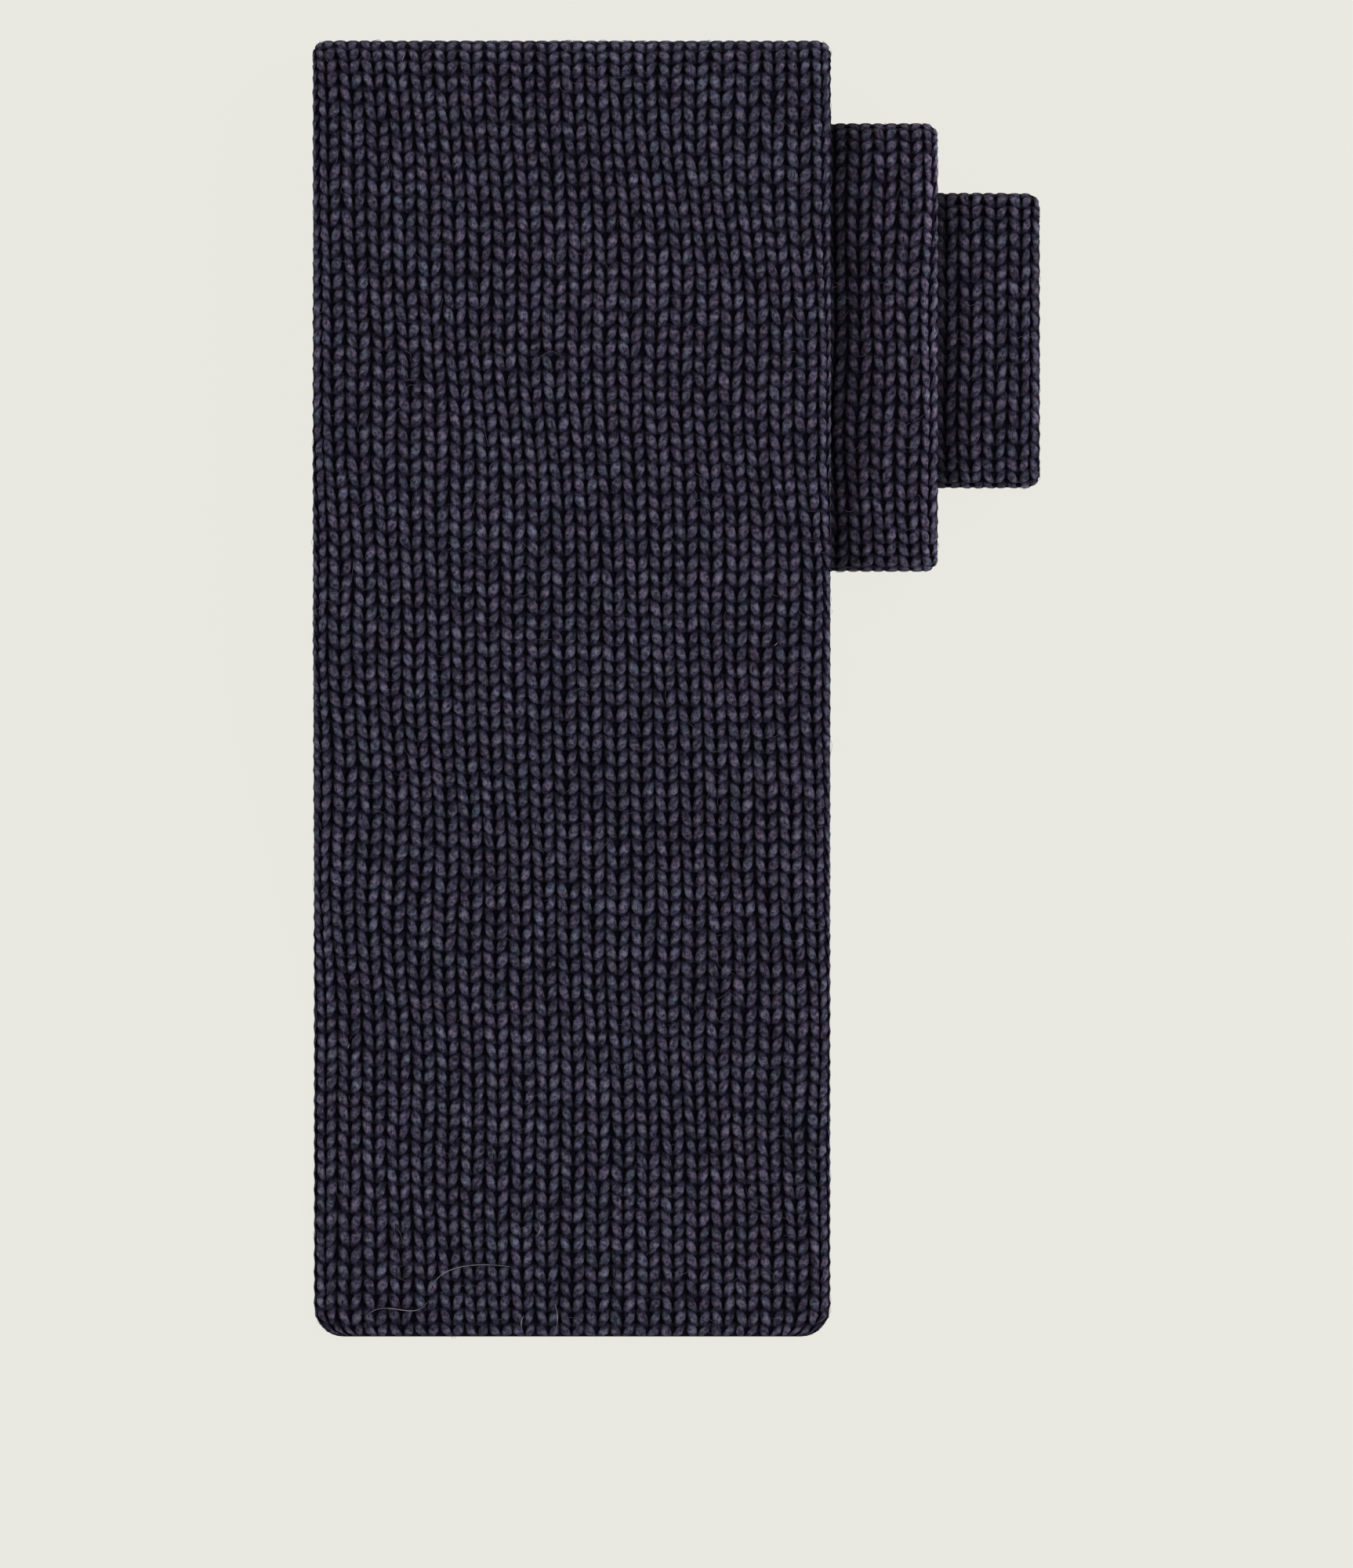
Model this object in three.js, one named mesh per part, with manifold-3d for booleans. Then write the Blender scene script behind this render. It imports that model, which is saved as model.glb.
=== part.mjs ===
// A knit tie, folded flat. The square-ended front blade lies on top. The rest of the tie is wound behind
// it in a loose flat roll, and the roll's inner turns step out past the blade's right-hand edge.
// Each length is a knitted tube pressed flat: two walls of cloth with a little slack between them. The
// blade's and the tail's outer ends are closed by a hem, and the tubes are joined end to end on the hidden
// side of the roll. Millimetres. +Z is up and +Y runs from the blade's hem to its top fold. The origin is
// the middle of the underside.
import * as THREE from 'three';
import { mergeVertices } from 'three/addons/utils/BufferGeometryUtils.js';
import Module from 'manifold-3d';

// The knitted cloth and the flattened tubes
const knitWall = 1.4;
const tubeSlack = 0.4;
const bladeWidth = 60;
const neckWidth = 50;
const tailWidth = 50;

// The fold, seen from above: the lengths are outer edge to outer edge
const bladeReach = 150; // from the blade's hem to its top fold
const neckTopInset = 9.5; // the neck's top fold, below the blade's top fold
const neckReach = 51.9; // from the neck's top fold to its lower fold
const neckStepOut = 12.4; // how far the neck shows past the blade's edge
const tailTopInset = 8; // the tail's top fold, below the neck's top fold
const tailReach = 34.3; // from the tail's top fold to its lower fold
const tailStepOut = 11.8; // how far the tail shows past the neck's edge

// The fold, seen from the side
const layerGap = 0.3; // between layers that lie on each other
const foldCrease = 2.6; // bend radius at a fold's upper corner, at the middle of the tube's thickness
const foldRound = 5; // bend radius at a fold's lower corner
const drapeRadius = 48; // the blade comes down from the roll to the table in one long soft step
const drapeAngle = THREE.MathUtils.degToRad(22);

// Hems and joins
const hemCorner = 3.4; // corner radius of a closed end
const hemDepth = 5; // how far the closed end is solid
const hemBlunt = 0.35; // thickness at the very end of a hem, as a share of the tube's
const joinGap = 0.3; // between two tubes' open ends
const hollowOvercut = 1; // how far past an open end the hollow is cut
const bladeJoinInset = 6; // from the blade's join to the lower fold that follows it
const neckJoinInset = 4; // from the neck's join to the lower fold that follows it
const tailEndClearance = 4; // from the tail's end to the neck's lower fold around it

// How finely the lofts follow the curves
const edgeSteps = 8; // faces round each edge of a tube
const hollowEdgeSteps = 2; // and of the narrow hollow in it
const bendStep = THREE.MathUtils.degToRad(11);
const stepLength = 7;
const closestRows = 0.05;

const tubeThickness = 2 * knitWall + tubeSlack;
const halfThickness = tubeThickness / 2;
const layerPitch = tubeThickness + layerGap;
const quarterTurn = Math.PI / 2;

// The layers from the table up
const layers = ['blade back', 'neck back', 'tail back', 'tail front', 'neck front', 'blade front'];
const layerHeight = (layer) => halfThickness + layers.indexOf(layer) * layerPitch;

// Places along Y of the folds' outermost lines
const bladeTop = bladeReach / 2;
const hemEnd = -bladeReach / 2;
const neckTop = bladeTop - neckTopInset;
const neckBottom = neckTop - neckReach;
const tailTop = neckTop - tailTopInset;
const tailBottom = tailTop - tailReach;

// Places along X of the tubes' centre lines
const bladeCentre = -(neckStepOut + tailStepOut) / 2;
const bladeRightEdge = bladeCentre + bladeWidth / 2;
const neckCentre = bladeRightEdge + neckStepOut - neckWidth / 2;
const tailCentre = bladeRightEdge + neckStepOut + tailStepOut - tailWidth / 2;

// The line that the middle of the flat tube follows, in the Y-Z plane. It is made of straights and arcs.
// A positive bend turns the way the roll is wound, which is clockwise as seen from +X.
class FoldPath {
  constructor(y, z) {
    this.pieces = [];
    this.end = { y, z, heading: 0 };
    this.length = 0;
  }

  add(length, bend) {
    const piece = { start: this.end, from: this.length, length, bend };
    this.pieces.push(piece);
    this.length += length;
    this.end = this.along(piece, length);
  }

  along(piece, distance) {
    const { y, z, heading } = piece.start;
    if (piece.bend === 0) {
      return { y: y + distance * Math.cos(heading), z: z + distance * Math.sin(heading), heading };
    }
    const radius = piece.length / piece.bend;
    const turned = heading - distance / radius;
    return {
      y: y - radius * (Math.sin(turned) - Math.sin(heading)),
      z: z + radius * (Math.cos(turned) - Math.cos(heading)),
      heading: turned,
    };
  }

  at(length) {
    const piece = this.pieces.find((p) => length <= p.from + p.length) ?? this.pieces.at(-1);
    return this.along(piece, length - piece.from);
  }

  levelTo(y) {
    this.add(Math.abs(y - this.end.y), 0);
  }

  arc(radius, angle) {
    this.add(radius * Math.abs(angle), angle);
  }

  // Every length between two others at which a loft needs a section
  stops(from, to) {
    const found = [];
    for (const piece of this.pieces) {
      const forBend = Math.ceil(Math.abs(piece.bend) / bendStep);
      const forLength = Math.ceil(piece.length / stepLength);
      const count = Math.max(forBend, forLength);
      for (let i = 0; i < count; i++) {
        found.push(piece.from + (piece.length * i) / count);
      }
    }
    return [from, ...found.filter((s) => s > from + closestRows && s < to - closestRows), to];
  }
}

// A fold's two bend radii. A small fold has room for no more than its own height.
function foldRadii(lowerLayer, upperLayer) {
  const height = layerHeight(upperLayer) - layerHeight(lowerLayer);
  const crease = Math.min(foldCrease, height / 2);
  return { height, crease, round: Math.min(foldRound, height - crease) };
}

const folds = {
  bladeTop: foldRadii('blade back', 'blade front'),
  neckBottom: foldRadii('blade back', 'neck front'),
  neckTop: foldRadii('neck back', 'neck front'),
  tailBottom: foldRadii('neck back', 'tail front'),
  tailTop: foldRadii('tail back', 'tail front'),
};

function foldDown(path, fold) {
  path.arc(fold.crease, quarterTurn);
  path.add(fold.height - fold.crease - fold.round, 0);
  path.arc(fold.round, quarterTurn);
}

function foldUp(path, fold) {
  path.arc(fold.round, quarterTurn);
  path.add(fold.height - fold.crease - fold.round, 0);
  path.arc(fold.crease, quarterTurn);
}

// From the blade's hem to the tail's end
const path = new FoldPath(hemEnd, layerHeight('blade back'));
const drapeDrop = layerHeight('blade front') - layerHeight('blade back');
const drapeSlope = (drapeDrop - 2 * drapeRadius * (1 - Math.cos(drapeAngle))) / Math.sin(drapeAngle);
const drapeLength = 2 * drapeRadius * Math.sin(drapeAngle) + drapeSlope * Math.cos(drapeAngle);
const drapeTop = neckBottom + halfThickness + folds.neckBottom.crease;
path.levelTo(drapeTop - drapeLength);
path.arc(drapeRadius, -drapeAngle);
path.add(drapeSlope, 0);
path.arc(drapeRadius, drapeAngle);
path.levelTo(bladeTop - halfThickness - folds.bladeTop.crease);
foldDown(path, folds.bladeTop);
const bladeBackStart = path.length;
path.levelTo(neckBottom + halfThickness + folds.neckBottom.round);
const bladeJoin = path.length - bladeJoinInset;
foldUp(path, folds.neckBottom);
path.levelTo(neckTop - halfThickness - folds.neckTop.crease);
foldDown(path, folds.neckTop);
const neckBackStart = path.length;
path.levelTo(tailBottom + halfThickness + folds.tailBottom.round);
const neckJoin = path.length - neckJoinInset;
foldUp(path, folds.tailBottom);
path.levelTo(tailTop - halfThickness - folds.tailTop.crease);
foldDown(path, folds.tailTop);
path.levelTo(tailBottom + tubeThickness + tailEndClearance);
const tailEnd = path.length;

// The soft tube swings sideways, and narrows, along the two hidden layers that lead to its joins.
const ease = (length, from, to) => THREE.MathUtils.smoothstep(length, from, to);
const centreAt = (length) =>
  bladeCentre +
  (neckCentre - bladeCentre) * ease(length, bladeBackStart, bladeJoin) +
  (tailCentre - neckCentre) * ease(length, neckBackStart, neckJoin);
const widthAt = (length) =>
  bladeWidth +
  (neckWidth - bladeWidth) * ease(length, bladeBackStart, bladeJoin) +
  (tailWidth - neckWidth) * ease(length, neckBackStart, neckJoin);

// A flat tube's outline across: two half rounds joined by straights
function ring(width, thickness, steps) {
  const points = [];
  const radius = thickness / 2;
  for (const side of [1, -1]) {
    for (let i = 0; i <= steps; i++) {
      const angle = side * (-quarterTurn + (Math.PI * i) / steps);
      points.push([side * (width / 2 - radius + radius * Math.cos(angle)), radius * Math.sin(angle)]);
    }
  }
  return points;
}

// Sets a ring square to the path, a given length along it.
function place(points, length) {
  const { y, z, heading } = path.at(length);
  const centre = centreAt(length);
  return points.map(([across, out]) => [
    centre + across,
    y - out * Math.sin(heading),
    z + out * Math.cos(heading),
  ]);
}

// A closed surface through a row of rings that have the same number of points
function loft(rings) {
  const size = rings[0].length;
  const faces = [];
  for (let r = 0; r + 1 < rings.length; r++) {
    for (let i = 0; i < size; i++) {
      const [a, b] = [r * size + i, r * size + ((i + 1) % size)];
      faces.push(a, a + size, b + size, a, b + size, b);
    }
  }
  const last = (rings.length - 1) * size;
  for (let i = 1; i + 1 < size; i++) {
    faces.push(0, i, i + 1, last, last + i + 1, last + i);
  }
  const geometry = new THREE.BufferGeometry();
  geometry.setAttribute('position', new THREE.Float32BufferAttribute(rings.flat(2), 3));
  geometry.setIndex(faces);
  return geometry;
}

const wasm = await Module();
wasm.setup();

function toSolid(geometry) {
  const merged = mergeVertices(geometry);
  return new wasm.Manifold(
    new wasm.Mesh({
      numProp: 3,
      vertProperties: merged.attributes.position.array,
      triVerts: new Uint32Array(merged.index.array),
    }),
  );
}

function toGeometry(solid) {
  const mesh = solid.getMesh();
  const geometry = new THREE.BufferGeometry();
  geometry.setAttribute('position', new THREE.Float32BufferAttribute(mesh.vertProperties, 3));
  geometry.setIndex(new THREE.BufferAttribute(mesh.triVerts, 1));
  geometry.computeVertexNormals();
  return geometry;
}

// How much of the full width and thickness is left near a closed end: round corners and a blunt rounded lip
function hemSize(width, fromEnd) {
  const corner = Math.max(0, hemCorner - fromEnd);
  const lip = Math.max(0, 1 - fromEnd / halfThickness);
  return {
    width: width - 2 * (hemCorner - Math.sqrt(hemCorner ** 2 - corner ** 2)),
    thickness: tubeThickness * (hemBlunt + (1 - hemBlunt) * Math.sqrt(1 - lip ** 2)),
  };
}
const hemShares = [0, 0.06, 0.16, 0.32, 0.6, 1];

// One length of knitted tube. The end that closed names has a hem, and another is open, where the next
// tube joins it.
function knitTube(from, to, closed) {
  const hems = hemShares.map((share) => share * hemCorner);
  const stops = path.stops(
    closed === 'start' ? from + hemCorner : from,
    closed === 'end' ? to - hemCorner : to,
  );
  if (closed === 'start') {
    stops.unshift(...hems.slice(0, -1).map((d) => from + d));
  }
  if (closed === 'end') {
    stops.push(...hems.slice(0, -1).reverse().map((d) => to - d));
  }
  const outside = stops.map((length) => {
    const fromEnd = closed === 'start' ? length - from : closed === 'end' ? to - length : Infinity;
    const { width, thickness } = hemSize(widthAt(length), fromEnd);
    return place(ring(width, thickness, edgeSteps), length);
  });
  const hollowStops = path.stops(
    closed === 'start' ? from + hemDepth : from - hollowOvercut,
    closed === 'end' ? to - hemDepth : to + hollowOvercut,
  );
  const hollow = hollowStops.map((length) =>
    place(ring(widthAt(length) - 2 * knitWall, tubeSlack, hollowEdgeSteps), length),
  );
  return toGeometry(toSolid(loft(outside)).subtract(toSolid(loft(hollow))));
}

// Dark navy wool with a cast of purple
const wool = { color: 0x2b2836, roughness: 0.95, metalness: 0 };

function piece(name, geometry) {
  const mesh = new THREE.Mesh(geometry, new THREE.MeshStandardMaterial(wool));
  mesh.name = name;
  return mesh;
}

const tie = new THREE.Group();
tie.add(piece('front_blade', knitTube(0, bladeJoin - joinGap / 2, 'start')));
tie.add(piece('neck_band', knitTube(bladeJoin + joinGap / 2, neckJoin - joinGap / 2, 'none')));
tie.add(piece('tail_end', knitTube(neckJoin + joinGap / 2, tailEnd, 'end')));

export default tie;
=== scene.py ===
# A knit tie in dark navy wool, folded flat in a loose roll and seen from straight above.
import math

import bpy
import numpy as np
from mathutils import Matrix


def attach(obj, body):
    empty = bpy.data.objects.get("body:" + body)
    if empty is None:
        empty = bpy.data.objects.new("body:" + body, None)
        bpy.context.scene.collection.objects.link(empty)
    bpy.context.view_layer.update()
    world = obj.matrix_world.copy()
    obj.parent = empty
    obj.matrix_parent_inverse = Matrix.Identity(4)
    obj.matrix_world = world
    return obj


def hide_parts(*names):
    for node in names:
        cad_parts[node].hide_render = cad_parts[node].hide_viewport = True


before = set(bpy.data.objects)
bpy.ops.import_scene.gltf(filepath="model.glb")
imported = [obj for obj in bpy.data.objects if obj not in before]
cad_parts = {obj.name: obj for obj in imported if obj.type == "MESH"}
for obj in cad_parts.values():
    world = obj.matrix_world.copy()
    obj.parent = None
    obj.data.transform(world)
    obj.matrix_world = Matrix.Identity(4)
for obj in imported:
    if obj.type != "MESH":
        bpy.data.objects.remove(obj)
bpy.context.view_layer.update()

# The camera looks straight down at the tie from far away through a long lens, so that nothing tapers.
# The picture is taller than wide and has more bare ground below the tie than above it.
MM = 0.001
PICTURE_WIDTH, PICTURE_HEIGHT = 1726, 2000
PIXELS_PER_MM = 11
PICTURE_CENTRE_BELOW_TIE = 10.95 * MM
CAMERA_DISTANCE, CAMERA_REACH = 5.0, 20.0
SENSOR = 36.0

camera_data = bpy.data.cameras.new("overhead_camera")
camera_data.sensor_fit = "VERTICAL"
camera_data.sensor_height = SENSOR
camera_data.sensor_width = SENSOR * PICTURE_WIDTH / PICTURE_HEIGHT
camera_data.lens = SENSOR * CAMERA_DISTANCE / (PICTURE_HEIGHT / PIXELS_PER_MM * MM)
camera_data.clip_end = CAMERA_REACH
camera = bpy.data.objects.new("overhead_camera", camera_data)
camera.location = (0.0, -PICTURE_CENTRE_BELOW_TIE, CAMERA_DISTANCE)
bpy.context.scene.collection.objects.link(camera)
bpy.context.scene.camera = camera

# The ground is a plain pale card that glows a little, as on a light table, so that hardly a shadow shows on
# it. Around it is an even light tent, with one large soft lamp high up on the right.
GROUND_SIZE = 6.0
CARD_COLOR = (0.03, 0.03, 0.028, 1.0)
CARD_GLOW, CARD_GLOW_STRENGTH = (0.81, 0.81, 0.753, 1.0), 0.978
CARD_GRAIN, CARD_RELIEF = 900.0, 0.03
TENT_COLOR, TENT_STRENGTH = (1.0, 0.99, 0.97, 1.0), 0.48
LAMP_PLACE = (3.2, 1.2, 4.6)
LAMP_SIZE, LAMP_WATTS = 2.6, 80.0


class Value:
    """A value on a node tree. A sum that is written with it adds the math nodes that work it out."""

    def __init__(self, tree, socket):
        self.tree, self.socket = tree, socket

    def __add__(self, other):
        return calc(self.tree, "ADD", self, other)

    def __sub__(self, other):
        return calc(self.tree, "SUBTRACT", self, other)

    def __rsub__(self, other):
        return calc(self.tree, "SUBTRACT", other, self)

    def __mul__(self, other):
        return calc(self.tree, "MULTIPLY", self, other)

    def __truediv__(self, other):
        return calc(self.tree, "DIVIDE", self, other)

    def __pow__(self, other):
        return calc(self.tree, "POWER", self, other)


def calc(tree, operation, *values):
    """What a math node works out from values on the tree and plain numbers."""
    return value_of(tree, "ShaderNodeMath", operation=operation, inputs=dict(enumerate(values)))


def value_of(tree, kind, output=0, **settings):
    """What a new node puts out."""
    return Value(tree, node(tree, kind, **settings).outputs[output])


def node(tree, kind, **settings):
    """Adds a node. The settings are the node's own, apart from inputs, a dict that fills its sockets."""
    made = tree.nodes.new(kind)
    inputs = settings.pop("inputs", {})
    for name, value in settings.items():
        setattr(made, name, value)
    for name, value in inputs.items():
        fill(made.inputs[name], value)
    return made


def fill(target, value):
    """Links a socket to the value on its tree that feeds it, or sets it to a plain value."""
    if isinstance(value, Value):
        value.tree.links.new(value.socket, target)
    else:
        target.default_value = value


def object_place(tree):
    return value_of(tree, "ShaderNodeTexCoord", "Object")


def noise_of(tree, place, scale, detail=2.0):
    inputs = {"Vector": place, "Scale": scale, "Detail": detail}
    return value_of(tree, "ShaderNodeTexNoise", "Fac", inputs=inputs)


def new_material(name, values):
    """A new material with plain values on its shader, its node tree and the shader."""
    material = bpy.data.materials.new(name)
    material.use_nodes = True
    shader = material.node_tree.nodes["Principled BSDF"]
    for socket, value in values.items():
        fill(shader.inputs[socket], value)
    return material, material.node_tree, shader


def roughen(tree, shader, height, **relief):
    """Gives a shader a bump that follows a height."""
    fill(shader.inputs["Normal"], value_of(tree, "ShaderNodeBump", inputs={"Height": height, **relief}))


def add_object(name, data):
    made = bpy.data.objects.new(name, data)
    bpy.context.scene.collection.objects.link(made)
    return made


def mesh_object(name, points, faces, material):
    mesh = bpy.data.meshes.new(name)
    mesh.from_pydata([tuple(point) for point in points], [], [tuple(face) for face in faces])
    mesh.validate()
    mesh.polygons.foreach_set("use_smooth", [True] * len(mesh.polygons))
    mesh.materials.append(material)
    return add_object(name, mesh)


card_look = {
    "Base Color": CARD_COLOR,
    "Emission Color": CARD_GLOW,
    "Emission Strength": CARD_GLOW_STRENGTH,
    "Roughness": 0.9,
    "Specular IOR Level": 0.1,
}
card, card_tree, card_shader = new_material("pale_card", card_look)
card_grain = noise_of(card_tree, object_place(card_tree), CARD_GRAIN)
roughen(card_tree, card_shader, card_grain, Strength=CARD_RELIEF)
half = GROUND_SIZE / 2
ground_corners = [(-half, -half, 0), (half, -half, 0), (half, half, 0), (-half, half, 0)]
ground = mesh_object("ground", ground_corners, [(0, 1, 2, 3)], card)

tent = bpy.data.worlds.new("light_tent")
tent.use_nodes = True
tent_shader = tent.node_tree.nodes["Background"]
tent_shader.inputs["Color"].default_value = TENT_COLOR
tent_shader.inputs["Strength"].default_value = TENT_STRENGTH
bpy.context.scene.world = tent
bpy.context.scene.view_settings.view_transform = "Standard"

lamp_data = bpy.data.lights.new("soft_lamp", "AREA")
lamp_data.shape = "DISK"
lamp_data.size = LAMP_SIZE
lamp_data.energy = LAMP_WATTS
lamp = add_object("soft_lamp", lamp_data)
lamp.location = LAMP_PLACE
lamp_x, lamp_y, lamp_z = LAMP_PLACE
lamp_tilt = math.atan2(math.hypot(lamp_x, lamp_y), lamp_z)
lamp.rotation_euler = (lamp_tilt, 0.0, math.atan2(-lamp_y, -lamp_x) - math.pi / 2)

# The front blade is the wide, square-ended half of the tie: a flat tube, knitted in dark navy wool, folded
# over at the top with its hem lying on the ground. The tube goes on as the narrower neck and tail in a
# loose flat roll behind it, so the line that the whole folded tie follows is worked out here.
TUBE_THICKNESS, LAYER_GAP = 3.2 * MM, 0.3 * MM
BLADE_WIDTH, NECK_WIDTH, TAIL_WIDTH = 60 * MM, 50 * MM, 50 * MM
BLADE_REACH = 150 * MM
NECK_TOP_INSET, NECK_REACH, NECK_STEP_OUT = 9.5 * MM, 51.9 * MM, 12.4 * MM
TAIL_TOP_INSET, TAIL_REACH, TAIL_STEP_OUT = 8 * MM, 34.3 * MM, 11.8 * MM
FOLD_CREASE, FOLD_ROUND = 2.6 * MM, 5 * MM
SHORTEST_STRAIGHT = 0.0003 * MM
DRAPE_RADIUS, DRAPE_ANGLE = 48 * MM, math.radians(22)
HEM_CORNER, HEM_BLUNT = 3.4 * MM, 0.35
CORNER_SPREAD, CORNER_EASING = 7 * MM, 1.5
JOIN_GAP = 0.3 * MM
BLADE_JOIN_INSET, NECK_JOIN_INSET, TAIL_END_CLEARANCE = 6 * MM, 4 * MM, 4 * MM

half_thickness = TUBE_THICKNESS / 2
# The roll's six layers, counted from the ground up.
BLADE_BACK, NECK_BACK, TAIL_BACK, TAIL_FRONT, NECK_FRONT, BLADE_FRONT = range(6)
layer_height = [half_thickness + layer * (TUBE_THICKNESS + LAYER_GAP) for layer in range(6)]

blade_top, hem_end = BLADE_REACH / 2, -BLADE_REACH / 2
neck_top = blade_top - NECK_TOP_INSET
neck_bottom = neck_top - NECK_REACH
tail_top = neck_top - TAIL_TOP_INSET
tail_bottom = tail_top - TAIL_REACH

blade_centre = -(NECK_STEP_OUT + TAIL_STEP_OUT) / 2
blade_right = blade_centre + BLADE_WIDTH / 2
neck_right = blade_right + NECK_STEP_OUT
tail_right = neck_right + TAIL_STEP_OUT
neck_centre = neck_right - NECK_WIDTH / 2
tail_centre = tail_right - TAIL_WIDTH / 2


class FoldPath:
    """The line that the middle of the flat tube follows, in the Y-Z plane, as straights and arcs."""

    STRAIGHT = 1e-9

    def __init__(self, y, z):
        self.starts, self.bends, self.lengths = [(y, z, 0.0)], [], []
        self.marks = [0.0]

    def add(self, length, bend=0.0):
        """Adds a straight, or an arc that turns by a bend over its length."""
        self.lengths.append(length)
        self.bends.append(bend)
        self.marks.append(self.marks[-1] + length)
        last = len(self.lengths) - 1
        self.starts.append(tuple(float(value) for value in self.along(last, np.array(length))))

    def along(self, piece, distance):
        """Y, Z and heading at a distance from the start of a piece."""
        y, z, heading = np.moveaxis(np.array(self.starts)[piece], -1, 0)
        rate = np.array(self.bends)[piece] / np.array(self.lengths)[piece]
        flat = np.abs(rate) < self.STRAIGHT
        radius = 1 / np.where(flat, 1.0, rate)
        turned = heading - distance * rate
        curved_y = y - radius * (np.sin(turned) - np.sin(heading))
        curved_z = z + radius * (np.cos(turned) - np.cos(heading))
        return (
            np.where(flat, y + distance * np.cos(heading), curved_y),
            np.where(flat, z + distance * np.sin(heading), curved_z),
            np.where(flat, heading, turned),
        )

    def at(self, length):
        """Y, Z and heading at a length from the path's start."""
        length = np.asarray(length, float)
        piece = np.searchsorted(self.marks, length, side="right") - 1
        piece = np.clip(piece, 0, len(self.lengths) - 1)
        return self.along(piece, length - np.array(self.marks)[piece])

    def level_to(self, y):
        self.add(abs(y - self.starts[-1][0]))

    def arc(self, radius, angle):
        self.add(radius * abs(angle), angle)

    def fold(self, lower, upper, downwards):
        """Turns back from one layer to another, more tightly at the upper end of the fold."""
        height = layer_height[upper] - layer_height[lower]
        crease, rounding = crease_of(lower, upper), rounding_of(lower, upper)
        first, second = (crease, rounding) if downwards else (rounding, crease)
        self.arc(first, math.pi / 2)
        self.add(max(height - crease - rounding, SHORTEST_STRAIGHT))
        self.arc(second, math.pi / 2)


def crease_of(lower, upper):
    return min(FOLD_CREASE, (layer_height[upper] - layer_height[lower]) / 2)


def rounding_of(lower, upper):
    return min(FOLD_ROUND, layer_height[upper] - layer_height[lower] - crease_of(lower, upper))


path = FoldPath(hem_end, layer_height[BLADE_BACK])
drape_drop = layer_height[BLADE_FRONT] - layer_height[BLADE_BACK]
drape_slope = (drape_drop - 2 * DRAPE_RADIUS * (1 - math.cos(DRAPE_ANGLE))) / math.sin(DRAPE_ANGLE)
drape_length = 2 * DRAPE_RADIUS * math.sin(DRAPE_ANGLE) + drape_slope * math.cos(DRAPE_ANGLE)
drape_top = neck_bottom + half_thickness + crease_of(BLADE_BACK, NECK_FRONT)
path.level_to(drape_top - drape_length)
path.arc(DRAPE_RADIUS, -DRAPE_ANGLE)
path.add(drape_slope)
path.arc(DRAPE_RADIUS, DRAPE_ANGLE)
path.level_to(blade_top - half_thickness - crease_of(BLADE_BACK, BLADE_FRONT))
top_fold_start = path.marks[-1]
path.fold(BLADE_BACK, BLADE_FRONT, downwards=True)
blade_back_start = path.marks[-1]
path.level_to(neck_bottom + half_thickness + rounding_of(BLADE_BACK, NECK_FRONT))
blade_join = path.marks[-1] - BLADE_JOIN_INSET
path.fold(BLADE_BACK, NECK_FRONT, downwards=False)
path.level_to(neck_top - half_thickness - crease_of(NECK_BACK, NECK_FRONT))
path.fold(NECK_BACK, NECK_FRONT, downwards=True)
neck_back_start = path.marks[-1]
path.level_to(tail_bottom + half_thickness + rounding_of(NECK_BACK, TAIL_FRONT))
neck_join = path.marks[-1] - NECK_JOIN_INSET
path.fold(NECK_BACK, TAIL_FRONT, downwards=False)
path.level_to(tail_top - half_thickness - crease_of(TAIL_BACK, TAIL_FRONT))
path.fold(TAIL_BACK, TAIL_FRONT, downwards=True)
path.level_to(tail_bottom + TUBE_THICKNESS + TAIL_END_CLEARANCE)
tail_end = path.marks[-1]


def eased(value, start, end):
    share = np.clip((value - start) / (end - start), 0, 1)
    return share * share * (3 - 2 * share)


def by_layer(length, blade, neck, tail):
    """A size that changes on the roll's hidden layers, from the blade's to the neck's to the tail's."""
    to_neck = eased(length, blade_back_start, blade_join)
    to_tail = eased(length, neck_back_start, neck_join)
    return blade + (neck - blade) * to_neck + (tail - neck) * to_tail


def hem_shares(length, hem):
    """How much narrower the tube is near a hem, and what share of its thickness is left there."""
    # Where there is no hem, it is as if the hem were a metre away.
    from_end = np.full(np.shape(length), 1.0) if hem is None else np.abs(length - hem)
    corner = np.clip(HEM_CORNER - from_end, 0, None)
    narrower = 2 * (HEM_CORNER - np.sqrt(HEM_CORNER**2 - corner**2))
    lip = np.clip(1 - from_end / half_thickness, 0, None)
    return narrower, HEM_BLUNT + (1 - HEM_BLUNT) * np.sqrt(1 - lip**2)


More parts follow.
